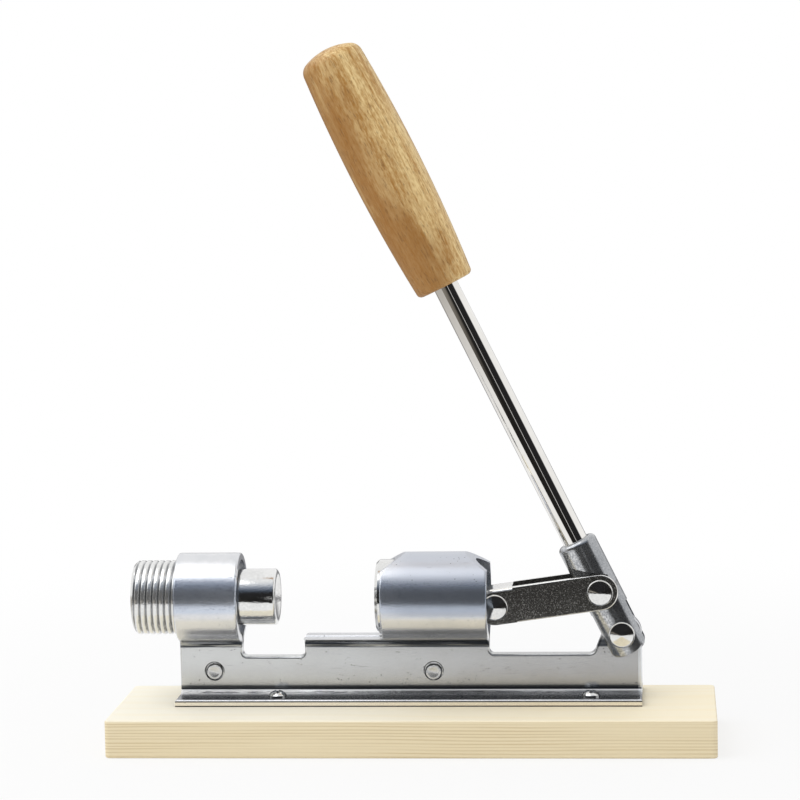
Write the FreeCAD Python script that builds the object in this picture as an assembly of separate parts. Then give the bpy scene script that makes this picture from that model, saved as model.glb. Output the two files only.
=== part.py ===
"""Lever nutcracker press on a wooden board.

One folded steel stamping carries a threaded anvil on the left and a sliding plunger on the right.
A hand lever drives the plunger through a short channel link.
Millimetres. X runs along the board, Y away from the user, Z up. The origin is the middle of the
board's underside, and the lever stands as it does when a nut is first gripped.
"""
import FreeCAD
import Part
import math
import os

from FreeCAD import Vector

# Board
board_length = 240.0
board_width = 70.0
board_thickness = 15.0
board_corner_radius = 2.0
board_edge_round = 0.8

# Folded frame
frame_y = 10.0
frame_left_x = -96.0
sheet_thickness = 2.8
seam_gap = 0.2
tube_radius = 18.0
tube_axis_height = 56.4
flange_reach = 18.5
foot_bend_radius = 2.0
neck_bend_radius = 3.0
left_tube_length = 25.5
nose_notch_length = 25.5
nose_notch_drop = 24.0
trough_drop = 16.2
housing_left_x = -13.0
housing_right_x = 29.7
housing_bevel_run = 9.3
housing_bevel_drop = 6.0
link_notch_drop = 23.2
ear_radius = 8.0
ear_foot_x = 71.6
ear_foot_to_pivot = 11.3
notch_corner_radius = 2.0
ear_corner_radius = 3.0
rolled_edge_radius = 0.9

# Fasteners
rivet_radius = 3.75
rivet_height = 26.3
rivet_left_x = -82.0
rivet_right_x = 7.1
rivet_recess = 0.8
screw_left_x = -55.4
screw_right_x = 70.4
screw_spacing = 21.0
screw_head_radius = 3.65
screw_head_height = 2.4
screw_rim_height = 0.6
screw_radius = 2.0
screw_length = 12.0
screw_point_length = 3.0
screw_hole_radius = 2.3
screw_pilot_spare = 1.0

# Adjusting anvil
bore_clearance = 0.2
anvil_left_x = -113.8
anvil_body_length = 40.0
anvil_nose_radius = 11.4
anvil_nose_x = -55.7
anvil_chamfer = 1.4
cup_radius = 8.8
cup_depth = 3.0
nose_rim_chamfer = 1.0

# Crushing plunger
plunger_front_x = -15.3
plunger_length = 39.0
plunger_chamfer = 1.2
plunger_pin_drop = 3.4
eye_radius = 4.0
tongue_top = 2.0
tongue_bottom = -6.0
tongue_clearance = 0.2
tongue_root = 1.0

# Lever geometry
pivot_drop = 15.0
lever_lean = 26.0
crank_length = 19.3
link_length = 42.4
crush_swing = 14.0

# Pins
pin_radius = 3.0
pin_fit = 0.05
pin_running_fit = 0.1
pin_head_radius = 5.25
pin_head_height = 2.0
pin_rim_height = 0.7
pin_head_clearance = 0.1

# Channel link
link_thickness = 1.8
link_inner_gap = 11.4
link_end_radius = 7.2
link_bridge_start = -3.5
link_bridge_end = 8.0
link_edge_round = 0.5
link_free_hole_radius = 4.6

# Lever fork, rod and handle
fork_radius = 8.0
fork_foot = -8.6
fork_top = 41.4
fork_flat_thickness = 11.0
relief_clearance = 0.3
fork_slot_width = 6.4
fork_slot_top = 11.5
fork_foot_round = 3.6
fork_top_round = 2.0
rod_radius = 5.0
rod_start = 25.0
rod_grip_depth = 60.0
rod_mouth_chamfer = 0.6
handle_start = 156.0
handle_length = 105.0
handle_foot_radius = 12.0
handle_middle_radius = 14.2
handle_neck_radius = 12.6
handle_middle_share = 0.45
handle_crown_height = 3.5
handle_crown_round = 5.0
handle_foot_round = 2.0

ALONG_X = Vector(1, 0, 0)
ALONG_Y = Vector(0, 1, 0)
UP = Vector(0, 0, 1)
TOLERANCE = 1e-6

# Places that follow from the sizes above
bore_radius = tube_radius - sheet_thickness
web_half = sheet_thickness + seam_gap / 2
tube_top = tube_axis_height + tube_radius
nose_notch_floor = tube_axis_height - nose_notch_drop
trough_height = tube_axis_height - trough_drop
link_notch_floor = tube_axis_height - link_notch_drop
pivot_height = tube_axis_height - pivot_drop
pivot_x = ear_foot_x + ear_foot_to_pivot
frame_right_x = pivot_x + ear_radius
tube_right_x = frame_left_x + left_tube_length
notch_right_x = tube_right_x + nose_notch_length
flange_top = board_thickness + sheet_thickness
foot_height = flange_top + foot_bend_radius
lean = math.radians(lever_lean)
lever_pin_x = pivot_x - crank_length * math.sin(lean)
lever_pin_z = pivot_height + crank_length * math.cos(lean)
plunger_pin_z = tube_axis_height - plunger_pin_drop
link_rise = lever_pin_z - plunger_pin_z
plunger_pin_x = lever_pin_x - math.sqrt(link_length ** 2 - link_rise ** 2)
link_angle = math.degrees(math.asin(link_rise / link_length))
link_half_width = link_inner_gap / 2 + link_thickness

# The fork's flats end along the link's upper edge as it lies at the end of the stroke
end_lean = lever_lean + crush_swing
end_rise = pivot_height + crank_length * math.cos(math.radians(end_lean)) - plunger_pin_z
relief_slope = math.radians(end_lean) - math.asin(end_rise / link_length)
relief_height = crank_length + (link_end_radius + relief_clearance) / math.cos(relief_slope)


def rounded_outline(corners, plane_y):
    """Closed wire in the XZ plane from (x, z, corner radius)."""
    edges = []
    starts = []
    ends = []
    count = len(corners)
    for i in range(count):
        before = Vector(corners[i - 1][0], plane_y, corners[i - 1][1])
        here = Vector(corners[i][0], plane_y, corners[i][1])
        after = Vector(corners[(i + 1) % count][0], plane_y, corners[(i + 1) % count][1])
        radius = corners[i][2]
        if radius == 0:
            starts.append(here)
            ends.append(here)
            continue
        back = (before - here).normalize()
        ahead = (after - here).normalize()
        half = back.getAngle(ahead) / 2
        reach = radius / math.tan(half)
        middle = (back + ahead).normalize()
        start = here + back * reach
        end = here + ahead * reach
        apex = here + middle * (radius / math.sin(half) - radius)
        edges.append((i, Part.Arc(start, apex, end).toShape()))
        starts.append(start)
        ends.append(end)
    for i in range(count):
        start = ends[i]
        end = starts[(i + 1) % count]
        if start.distanceToPoint(end) > TOLERANCE:
            edges.append((i + 0.5, Part.makeLine(start, end)))
    edges.sort(key=lambda item: item[0])
    return Part.Wire([edge for _, edge in edges])


def plate_from(corners, y_start, y_end):
    """Solid plate from an XZ outline, between two Y places."""
    face = Part.Face(rounded_outline(corners, y_start))
    return face.extrude(ALONG_Y * (y_end - y_start))


def pin_bore(x, z, radius):
    """Long cylinder through the press along Y, for holes."""
    reach = board_width
    return Part.makeCylinder(radius, 2 * reach, Vector(x, frame_y - reach, z), ALONG_Y)


def turned(profile, origin, axis):
    """Solid of revolution: profile is an XZ face about Z, then laid along the given axis."""
    solid = profile.revolve(Vector(0, 0, 0), UP, 360)
    turn = FreeCAD.Rotation(UP, axis)
    solid.Placement = FreeCAD.Placement(origin, turn)
    return solid


def same(a, b):
    """True for two lengths that agree."""
    return abs(a - b) < TOLERANCE


def level_at(edge, height):
    """True for a level edge at this height."""
    box = edge.BoundBox
    return box.ZLength < TOLERANCE and same(box.ZMin, height)


def parallel(a, b):
    """True for two directions that agree, or are opposite."""
    return a.cross(b).Length < TOLERANCE


def cap_arc(radius, rim, crown):
    """Arc of a spherical cap in the XZ plane, from its rim to its crown on the Z axis."""
    rise = crown - rim
    ball = (radius ** 2 + rise ** 2) / (2 * rise)
    half = math.atan2(radius, ball - rise) / 2
    middle = Vector(ball * math.sin(half), 0, crown - ball + ball * math.cos(half))
    return Part.Arc(Vector(radius, 0, rim), middle, Vector(0, 0, crown))


def lathe_face(points):
    """Closed straight-sided face (radius, height) for turning."""
    corners = [Vector(r, 0, h) for r, h in points]
    return Part.Face(Part.makePolygon(corners + corners[:1]))


def section_arc(centre, radius, start, end):
    """Arc in the frame's YZ section, angles in degrees."""
    spots = []
    for angle in (start, (start + end) / 2, end):
        turn = math.radians(angle)
        y = centre[0] + radius * math.cos(turn)
        z = centre[1] + radius * math.sin(turn)
        spots.append(Vector(frame_left_x, y, z))
    return Part.Arc(*spots).toShape()


def tube_section():
    """Section of the one sheet where it wraps the tube: foot, leg, neck, tube, and mirrored back."""
    gap = seam_gap / 2
    neck_y = web_half + neck_bend_radius
    reach = tube_radius + neck_bend_radius
    neck_z = tube_axis_height - math.sqrt(reach ** 2 - neck_y ** 2)
    slope = math.degrees(math.asin(neck_y / reach))
    edges = []
    for side in (1, -1):
        edges += foot_edges(side)
        start = neck_angle(side, 180)
        end = neck_angle(side, 90 + slope)
        neck = (side * neck_y, neck_z)
        edges.append(section_arc(neck, neck_bend_radius + sheet_thickness, start, end))
        edges.append(section_arc(neck, neck_bend_radius, start, end))
        edges.append(section_line((side * gap, foot_height), (side * gap, neck_z)))
        edges.append(section_line((side * web_half, foot_height), (side * web_half, neck_z)))
    for radius in (bore_radius, tube_radius):
        edges.append(section_arc((0.0, tube_axis_height), radius, slope - 90, 270 - slope))
    return section_face(edges)


def leg_section(side):
    """Section of one leg where it stays straight, up to the ears."""
    gap = side * seam_gap / 2
    outer = side * web_half
    top = pivot_height + ear_radius
    edges = foot_edges(side)
    edges.append(section_line((gap, foot_height), (gap, top)))
    edges.append(section_line((gap, top), (outer, top)))
    edges.append(section_line((outer, top), (outer, foot_height)))
    return section_face(edges)


def neck_angle(side, angle):
    """The angle itself on the rear side, mirrored on the front side."""
    return angle if side == 1 else 180.0 - angle


def section_line(start, end):
    """Straight edge in the frame's YZ section."""
    return Part.makeLine(Vector(frame_left_x, start[0], start[1]), Vector(frame_left_x, end[0], end[1]))


def section_face(edges):
    """Face from loose section edges, moved to the frame's middle plane."""
    face = Part.Face(Part.Wire(Part.__sortEdges__(edges)))
    face.translate(ALONG_Y * frame_y)
    return face


def foot_edges(side):
    """Flange on the board and its bend up into the leg."""
    tip = side * flange_reach
    bend_y = side * (web_half + foot_bend_radius)
    bend = (bend_y, foot_height)
    start = neck_angle(side, 180)
    end = neck_angle(side, 270)
    return [
        section_line((tip, board_thickness), (tip, flange_top)),
        section_line((tip, board_thickness), (bend_y, board_thickness)),
        section_line((tip, flange_top), (bend_y, flange_top)),
        section_arc(bend, foot_bend_radius + sheet_thickness, start, end),
        section_arc(bend, foot_bend_radius, start, end),
    ]


def frame_side_outline():
    """What the press tool leaves of the folded sheet, seen from the front."""
    over = 1.0
    peak = tube_top + over
    bevel_foot = tube_top - housing_bevel_drop
    bevel_reach = housing_bevel_run * (housing_bevel_drop + over) / housing_bevel_drop
    ear_left = pivot_x - ear_radius
    ear_top = pivot_height + ear_radius
    return [
        (frame_left_x, board_thickness, 0),
        (frame_left_x, peak, 0),
        (tube_right_x, peak, 0),
        (tube_right_x, nose_notch_floor, notch_corner_radius),
        (notch_right_x, nose_notch_floor, notch_corner_radius),
        (notch_right_x, trough_height, 0),
        (housing_left_x, trough_height, 0),
        (housing_left_x, bevel_foot, 0),
        (housing_left_x + bevel_reach, peak, 0),
        (housing_right_x - bevel_reach, peak, 0),
        (housing_right_x, bevel_foot, 0),
        (housing_right_x, link_notch_floor, notch_corner_radius),
        (ear_foot_x, link_notch_floor, ear_corner_radius),
        (ear_left, pivot_height, 0),
        (ear_left, ear_top, ear_radius),
        (frame_right_x, ear_top, ear_radius),
        (frame_right_x, board_thickness, 0),
    ]


def screw_places():
    """Front and rear screws at both ends of the flanges."""
    places = {}
    for side, x in (("left", screw_left_x), ("right", screw_right_x)):
        places["front_" + side] = Vector(x, frame_y - screw_spacing / 2, flange_top)
        places["rear_" + side] = Vector(x, frame_y + screw_spacing / 2, flange_top)
    return places


def screw_pilot(place, radius):
    """Round hole down from a screw's seat."""
    return Part.makeCylinder(radius, screw_length + screw_pilot_spare, place, UP * -1)


def base_board():
    """Pine board with softly rounded edges and a pilot hole for each screw."""
    corner = Vector(-board_length / 2, -board_width / 2, 0)
    board = Part.makeBox(board_length, board_width, board_thickness, corner)
    upright = [edge for edge in board.Edges if edge.BoundBox.ZLength > board_thickness / 2]
    board = board.makeFillet(board_corner_radius, upright)
    rims = [edge for edge in board.Edges if edge.BoundBox.ZLength < TOLERANCE]
    board = board.makeFillet(board_edge_round, rims)
    for place in screw_places().values():
        board = board.cut(screw_pilot(place, screw_radius + pin_fit))
    return board


def is_cut(face):
    """True for a face left where the press tool cut through the sheet."""
    surface = face.Surface
    if isinstance(surface, Part.Cylinder):
        return parallel(surface.Axis, ALONG_Y)
    middle = face.CenterOfMass
    if parallel(surface.Axis, ALONG_Y):
        return same(abs(middle.y - frame_y), flange_reach)
    return not (parallel(surface.Axis, UP) and middle.z < foot_height)


def is_outer(face):
    """True for the sheet's outer side: tube, necks, legs, foot bends and flange tops."""
    surface = face.Surface
    if isinstance(surface, Part.Cylinder):
        outer_radii = (tube_radius, neck_bend_radius, foot_bend_radius)
        return any(same(surface.Radius, radius) for radius in outer_radii)
    middle = face.CenterOfMass
    return same(abs(middle.y - frame_y), web_half) or same(middle.z, flange_top)


def rolled_edges(sheet):
    """Outer edges of the cuts, where the press tool rounds the sheet as it goes through.

    The trough's long edges graze the tube, so they stay as cut.
    """
    edges = []
    for edge in sheet.Edges:
        sides = [face for face in sheet.ancestorsOfType(edge, Part.Face) if not is_cut(face)]
        if len(sides) == 1 and is_outer(sides[0]) and not level_at(edge, trough_height):
            edges.append(edge)
    return edges


def frame_stamping():
    """Folded sheet trimmed to its side outline, with its rolled edges and its holes."""
    length = frame_right_x - frame_left_x
    wrapped_length = housing_right_x + 2 * notch_corner_radius - frame_left_x
    sheet = tube_section().extrude(ALONG_X * wrapped_length)
    legs = []
    for side in (1, -1):
        leg = leg_section(side)
        leg.translate(ALONG_X * wrapped_length)
        legs.append(leg.extrude(ALONG_X * (length - wrapped_length)))
    sheet = sheet.fuse(legs).removeSplitter()
    reach = flange_reach + sheet_thickness
    keep = plate_from(frame_side_outline(), frame_y - reach, frame_y + reach)
    frame = sheet.common(keep)
    frame = frame.makeFillet(rolled_edge_radius, rolled_edges(frame))
    for x in (rivet_left_x, rivet_right_x):
        frame = frame.cut(pin_bore(x, rivet_height, rivet_radius + pin_fit))
    frame = frame.cut(pin_bore(pivot_x, pivot_height, pin_radius + pin_fit))
    for place in screw_places().values():
        frame = frame.cut(screw_pilot(place, screw_hole_radius))
    return frame


def web_rivet(x):
    """Solid rivet through both legs, its ends pressed just below the sheet."""
    half = web_half - rivet_recess
    return Part.makeCylinder(rivet_radius, 2 * half, Vector(x, frame_y - half, rivet_height), ALONG_Y)


def base_screw(place):
    """Pan-head wood screw: domed head, plain shank, point."""
    foot = -screw_length
    rim = Vector(screw_head_radius, 0, screw_rim_height)
    crown = Vector(0, 0, screw_head_height)
    dome = cap_arc(screw_head_radius, screw_rim_height, screw_head_height).toShape()
    path = [
        crown,
        Vector(0, 0, foot),
        Vector(screw_radius, 0, foot + screw_point_length),
        Vector(screw_radius, 0, 0),
        Vector(screw_head_radius, 0, 0),
        rim,
    ]
    edges = [Part.makeLine(a, b) for a, b in zip(path, path[1:])]
    return turned(Part.Face(Part.Wire(edges + [dome])), place, UP)


def headed_pin(x, z, grip_half):
    """Pin along Y with a domed head against each outer face."""
    seat = grip_half + pin_head_clearance
    rim = seat + pin_rim_height
    crown = seat + pin_head_height
    upper = cap_arc(pin_head_radius, rim, crown).toShape()
    lower = upper.mirror(Vector(0, 0, 0), UP)
    corners = [
        Vector(pin_head_radius, 0, rim),
        Vector(pin_head_radius, 0, seat),
        Vector(pin_radius, 0, seat),
        Vector(pin_radius, 0, -seat),
        Vector(pin_head_radius, 0, -seat),
        Vector(pin_head_radius, 0, -rim),
    ]
    edges = [Part.makeLine(a, b) for a, b in zip(corners, corners[1:])]
    edges += [lower, Part.makeLine(Vector(0, 0, -crown), Vector(0, 0, crown)), upper]
    face = Part.Face(Part.Wire(Part.__sortEdges__(edges)))
    return turned(face, Vector(x, frame_y, z), ALONG_Y)


def adjusting_anvil():
    """Screw plug for the left tube, with a plain cupped nose. Its thread is shown as its crest."""
    body = bore_radius - bore_clearance
    length = anvil_nose_x - anvil_left_x
    shoulder = anvil_body_length
    face = lathe_face([
        (0, 0),
        (body - anvil_chamfer, 0),
        (body, anvil_chamfer),
        (body, shoulder - anvil_chamfer),
        (body - anvil_chamfer, shoulder),
        (anvil_nose_radius, shoulder),
        (anvil_nose_radius, length - nose_rim_chamfer),
        (anvil_nose_radius - nose_rim_chamfer, length),
        (cup_radius, length),
        (0, length - cup_depth),
    ])
    return turned(face, Vector(anvil_left_x, frame_y, tube_axis_height), ALONG_X)


def crushing_plunger():
    """Round plunger with a cupped face and a narrow tongue that carries its pin."""
    body = bore_radius - bore_clearance
    face = lathe_face([
        (0, cup_depth),
        (cup_radius, 0),
        (body - plunger_chamfer, 0),
        (body, plunger_chamfer),
        (body, plunger_length - plunger_chamfer),
        (body - plunger_chamfer, plunger_length),
        (0, plunger_length),
    ])
    plunger = turned(face, Vector(plunger_front_x, frame_y, tube_axis_height), ALONG_X)
    half = link_inner_gap / 2 - tongue_clearance
    root_x = plunger_front_x + plunger_length - tongue_root
    tongue = plate_from([
        (root_x, plunger_pin_z + tongue_bottom, 0),
        (root_x, plunger_pin_z + tongue_top, 0),
        (plunger_pin_x, plunger_pin_z + tongue_top, 0),
        (plunger_pin_x + eye_radius, plunger_pin_z, 0),
        (plunger_pin_x + eye_radius, plunger_pin_z + tongue_bottom, eye_radius),
    ], frame_y - half, frame_y + half)
    eye_start = Vector(plunger_pin_x, frame_y - half, plunger_pin_z)
    eye = Part.makeCylinder(eye_radius, 2 * half, eye_start, ALONG_Y)
    plunger = plunger.fuse([tongue, eye]).removeSplitter()
    return plunger.cut(pin_bore(plunger_pin_x, plunger_pin_z, pin_radius + pin_fit))


def link_block(start, end):
    """Length of the link before its gap is cut, between two places measured from the plunger's pin."""
    radius = link_end_radius
    outline = [
        (plunger_pin_x - radius, plunger_pin_z - radius, radius),
        (plunger_pin_x - radius, plunger_pin_z + radius, radius),
        (plunger_pin_x + link_length + radius, plunger_pin_z + radius, radius),
        (plunger_pin_x + link_length + radius, plunger_pin_z - radius, radius),
    ]
    block = plate_from(outline, frame_y - link_half_width, frame_y + link_half_width)
    corner = Vector(plunger_pin_x + start, frame_y - link_half_width, plunger_pin_z - radius)
    return block.common(Part.makeBox(end - start, 2 * link_half_width, 2 * radius, corner))


def link_channel():
    """Channel link: two plates with round ends, joined along the top near the plunger."""
    radius = link_end_radius
    top = plunger_pin_z + radius
    inner_half = link_inner_gap / 2
    whole = link_block(-radius, link_length + radius)
    faces = [face for face in whole.Faces if parallel(face.normalAt(0, 0), ALONG_Y)]
    plates = whole.makeFillet(link_edge_round, [edge for face in faces for edge in face.Edges])
    gap_corner = Vector(plunger_pin_x - radius, frame_y - inner_half, plunger_pin_z - radius)
    gap = Part.makeBox(link_length + 2 * radius, 2 * inner_half, 2 * radius, gap_corner)
    bend = link_block(link_bridge_start, link_bridge_end)
    plates = plates.cut(gap).cut(bend)
    bend = bend.makeFillet(link_thickness, [
        edge for edge in bend.Edges if level_at(edge, top) and edge.BoundBox.YLength < TOLERANCE
    ])
    gap.translate(UP * -link_thickness)
    link = plates.fuse(bend.cut(gap)).removeSplitter()
    free_hole = pin_bore(plunger_pin_x, plunger_pin_z, link_free_hole_radius)
    far_hole = pin_bore(plunger_pin_x + link_length, plunger_pin_z, pin_radius + pin_running_fit)
    link = link.cut(free_hole).cut(far_hole)
    link.rotate(Vector(plunger_pin_x, frame_y, plunger_pin_z), ALONG_Y, -link_angle)
    return link


def lean_lever(shape):
    """Turn an upright lever piece about the pivot to its resting lean."""
    turned_shape = shape.copy()
    turned_shape.rotate(Vector(pivot_x, frame_y, pivot_height), ALONG_Y, -lever_lean)
    return turned_shape


def lever_fork():
    """Round steel fork: flats for the link, a slot for the ear, a socket for the rod."""
    foot = Vector(pivot_x, frame_y, pivot_height + fork_foot)
    fork = Part.makeCylinder(fork_radius, fork_top - fork_foot, foot, UP)
    top_height = pivot_height + fork_top
    fork = fork.makeFillet(fork_foot_round, [edge for edge in fork.Edges if level_at(edge, foot.z)])
    fork = fork.makeFillet(fork_top_round, [edge for edge in fork.Edges if level_at(edge, top_height)])
    half = fork_flat_thickness / 2
    rise = 2 * fork_radius * math.tan(relief_slope)
    middle = pivot_height + relief_height
    below = pivot_height + 2 * fork_foot
    flat = [
        (pivot_x - 2 * fork_radius, below, 0),
        (pivot_x - 2 * fork_radius, middle + rise, 0),
        (pivot_x + 2 * fork_radius, middle - rise, 0),
        (pivot_x + 2 * fork_radius, below, 0),
    ]
    fork = fork.cut(plate_from(flat, frame_y + half, frame_y + 2 * fork_radius))
    fork = fork.cut(plate_from(flat, frame_y - 2 * fork_radius, frame_y - half))
    slot_corner = Vector(pivot_x - 2 * fork_radius, frame_y - fork_slot_width / 2, below)
    slot_height = fork_slot_top + pivot_height - below
    fork = fork.cut(Part.makeBox(4 * fork_radius, fork_slot_width, slot_height, slot_corner))
    fork = fork.cut(pin_bore(pivot_x, pivot_height, pin_radius + pin_running_fit))
    fork = fork.cut(pin_bore(pivot_x, pivot_height + crank_length, pin_radius + pin_fit))
    socket_foot = Vector(pivot_x, frame_y, pivot_height + rod_start)
    fork = fork.cut(Part.makeCylinder(rod_radius + pin_fit, fork_top, socket_foot, UP))
    mouth_foot = Vector(pivot_x, frame_y, top_height - rod_mouth_chamfer)
    socket_radius = rod_radius + pin_fit
    mouth_radius = socket_radius + rod_mouth_chamfer
    mouth = Part.makeCone(socket_radius, mouth_radius, rod_mouth_chamfer, mouth_foot, UP)
    return lean_lever(fork.cut(mouth))


def lever_rod():
    """Chromed rod from the fork's socket into the handle."""
    foot = Vector(pivot_x, frame_y, pivot_height + rod_start)
    length = handle_start + rod_grip_depth - rod_start
    return lean_lever(Part.makeCylinder(rod_radius, length, foot, UP))


def wood_handle():
    """Turned grip: full in the middle, narrower at both ends, with a rounded crown."""
    middle = handle_length * handle_middle_share
    neck = handle_length - handle_crown_height
    foot_corner = Vector(handle_foot_radius, 0, handle_foot_round)
    foot_start = Vector(handle_foot_radius - handle_foot_round, 0, 0)
    lip = handle_foot_round * (1 - math.sqrt(0.5))
    foot_arc = Part.Arc(foot_start, Vector(handle_foot_radius - lip, 0, lip), foot_corner)
    neck_corner = Vector(handle_neck_radius, 0, neck)
    side = Part.Arc(foot_corner, Vector(handle_middle_radius, 0, middle), neck_corner)
    crown = cap_arc(handle_neck_radius, neck, handle_length)
    bore = rod_radius + pin_fit
    edges = [
        Part.makeLine(Vector(0, 0, handle_length), Vector(0, 0, rod_grip_depth)),
        Part.makeLine(Vector(0, 0, rod_grip_depth), Vector(bore, 0, rod_grip_depth)),
        Part.makeLine(Vector(bore, 0, rod_grip_depth), Vector(bore, 0, 0)),
        Part.makeLine(Vector(bore, 0, 0), foot_start),
        foot_arc.toShape(),
        side.toShape(),
        crown.toShape(),
    ]
    grip = Part.Face(Part.Wire(edges)).revolve(Vector(0, 0, 0), UP, 360)
    crown_rim = [edge for edge in grip.Edges if level_at(edge, neck)]
    grip = grip.makeFillet(handle_crown_round, crown_rim)
    grip.translate(Vector(pivot_x, frame_y, pivot_height + handle_start))
    return lean_lever(grip)


def all_pieces():
    """Every separate piece by name."""
    pieces = {
        "base_board": base_board(),
        "frame_stamping": frame_stamping(),
        "web_rivet_left": web_rivet(rivet_left_x),
        "web_rivet_right": web_rivet(rivet_right_x),
        "adjusting_anvil": adjusting_anvil(),
        "crushing_plunger": crushing_plunger(),
        "link_channel": link_channel(),
        "plunger_pin": headed_pin(plunger_pin_x, plunger_pin_z, link_half_width),
        "lever_pin": headed_pin(lever_pin_x, lever_pin_z, link_half_width),
        "pivot_pin": headed_pin(pivot_x, pivot_height, fork_flat_thickness / 2),
        "lever_fork": lever_fork(),
        "lever_rod": lever_rod(),
        "wood_handle": wood_handle(),
    }
    for name, place in screw_places().items():
        pieces["base_screw_" + name] = base_screw(place)
    return pieces


os.makedirs("parts", exist_ok=True)
for node, shape in all_pieces().items():
    shape.exportStep("parts/" + node + ".step")
    print(node, "valid", shape.isValid(), "solids", len(shape.Solids), "volume", round(shape.Volume, 1))
print("plunger pin", round(plunger_pin_x, 3), round(plunger_pin_z, 3))
print("lever pin", round(lever_pin_x, 3), round(lever_pin_z, 3))
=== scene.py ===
# %% [markdown]
# # A lever nutcracker press
#
# A folded steel stamping stands on a pine board. A threaded plug sits in its left tube, a
# plunger slides in its right one, and a leaning lever pushes the plunger through a channel
# link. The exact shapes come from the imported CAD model, so this notebook gives them their
# finishes and makes the few pieces whose detail is finer than the CAD: the thread, the screw
# heads, the rivets and the turned pins. Everything is in metres, in the frame of the CAD.

import math
from types import SimpleNamespace

import bmesh
import bpy
from mathutils import Matrix, Vector


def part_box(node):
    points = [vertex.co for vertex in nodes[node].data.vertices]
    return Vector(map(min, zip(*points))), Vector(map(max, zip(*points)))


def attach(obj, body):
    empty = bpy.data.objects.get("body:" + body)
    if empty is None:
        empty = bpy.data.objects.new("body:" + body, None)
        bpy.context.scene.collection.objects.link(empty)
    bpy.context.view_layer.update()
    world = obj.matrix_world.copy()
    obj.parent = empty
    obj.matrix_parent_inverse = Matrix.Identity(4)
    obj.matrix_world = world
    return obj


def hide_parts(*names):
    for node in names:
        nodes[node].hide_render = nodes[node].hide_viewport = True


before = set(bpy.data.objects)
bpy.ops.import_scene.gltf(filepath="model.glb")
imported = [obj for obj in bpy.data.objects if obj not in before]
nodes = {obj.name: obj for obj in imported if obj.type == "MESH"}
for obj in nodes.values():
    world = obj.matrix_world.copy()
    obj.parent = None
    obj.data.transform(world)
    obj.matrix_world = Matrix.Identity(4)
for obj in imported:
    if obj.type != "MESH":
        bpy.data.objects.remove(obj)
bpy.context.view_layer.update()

# %% Millimetres
mm = 0.001


def in_mm(*lengths):
    """Lengths written in millimetres, as the metres that Blender works in."""
    return [length * mm for length in lengths]


print("in_mm(15, 2.5) is", in_mm(15, 2.5))

# %% [markdown]
# ## Sums on sockets
#
# A shader is a sum: brightness is a base plus some noise times a mask. Blender writes such
# sums as Math nodes, which are slow to place by hand. This small class wraps one output
# socket, so that `1 - mask * 0.3` adds the nodes itself. Colours mix through a Mix node
# instead, because a Math node would turn them grey. Every other node comes from `node`.


# %% The socket class
class Flow:
    """An output socket of a material or a world. Sums of flows and numbers add Math nodes."""

    def __init__(self, socket):
        self.socket = socket

    def node(self, kind, settings=(), sockets=(), output=0):
        """Add a node: its settings first, then its sockets. Gives one of its outputs."""
        made = self.socket.id_data.nodes.new(kind)
        for name, value in dict(settings).items():
            if name == "stops":
                set_stops(made.color_ramp, value)
            else:
                setattr(made, name, value)
        for name, value in dict(sockets).items():
            put(value, made.inputs[name])
        return Flow(made.outputs[output])

    def maths(self, operation, *others):
        """A Math node whose first value is this one."""
        return self.node("ShaderNodeMath", {"operation": operation}, enumerate((self, *others)))

    def __add__(self, other):
        return self.maths("ADD", other)

    def __sub__(self, other):
        return self.maths("SUBTRACT", other)

    def __rsub__(self, other):
        return self.node("ShaderNodeMath", {"operation": "SUBTRACT"}, {0: other, 1: self})

    def __mul__(self, other):
        return self.maths("MULTIPLY", other)

    __radd__ = __add__
    __rmul__ = __mul__

    def axes(self):
        """The three parts of a vector."""
        parts = self.node("ShaderNodeSeparateXYZ", (), {0: self})
        return [Flow(part) for part in parts.socket.node.outputs]

    def scaled(self, x, y, z):
        """This vector with each axis stretched by its own factor."""
        settings = {"operation": "MULTIPLY"}
        return self.node("ShaderNodeVectorMath", settings, {0: self, 1: (x, y, z)})

    def noise(self, scale, detail=2.0, roughness=0.5):
        """Soft random patches over this place, from 0 to 1."""
        values = {"Vector": self, "Scale": scale, "Detail": detail, "Roughness": roughness}
        return self.node("ShaderNodeTexNoise", (), values)

    def step(self, low, high):
        """0 below low, 1 above high, and a smooth rise between them."""
        settings = {"interpolation_type": "SMOOTHSTEP"}
        return self.node("ShaderNodeMapRange", settings, {0: self, 1: low, 2: high})

    def fall(self, low, high):
        """1 below low, 0 above high, and a smooth fall between them."""
        return 1 - self.step(low, high)

    def between(self, low, full, still, high):
        """1 from full to still, and smoothly down to 0 at low and at high."""
        return self.step(low, full) * self.fall(still, high)

    def tint(self, low, high):
        """A colour from low, where this is 0, to high, where it is 1."""
        settings = {"data_type": "RGBA"}  # its colours are inputs 6 and 7 and output 2
        return self.node("ShaderNodeMix", settings, {0: self, 6: low, 7: high}, 2)


# %% Helpers of the class
def put(value, socket):
    """Link a flow to an input socket, or set a plain value on the socket itself."""
    if isinstance(value, Flow):
        value.socket.id_data.links.new(value.socket, socket)
    else:
        socket.default_value = value


def set_stops(ramp, stops):
    """Colour ramp stops as (place, colour)."""
    while len(ramp.elements) < len(stops):
        ramp.elements.new(0.5)
    for element, (place, colour) in zip(ramp.elements, stops):
        element.position = place
        element.color = colour


def paint(red, green, blue):
    """A colour as read off a screen, 0 to 255, in the linear light that shaders use."""
    linear = []
    for value in (red, green, blue):
        share = value / 255
        linear.append(share / 12.92 if share <= 0.04045 else ((share + 0.055) / 1.055) ** 2.4)
    return (*linear, 1.0)


print("paint(128, 128, 128) is", [round(v, 3) for v in paint(128, 128, 128)])

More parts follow.
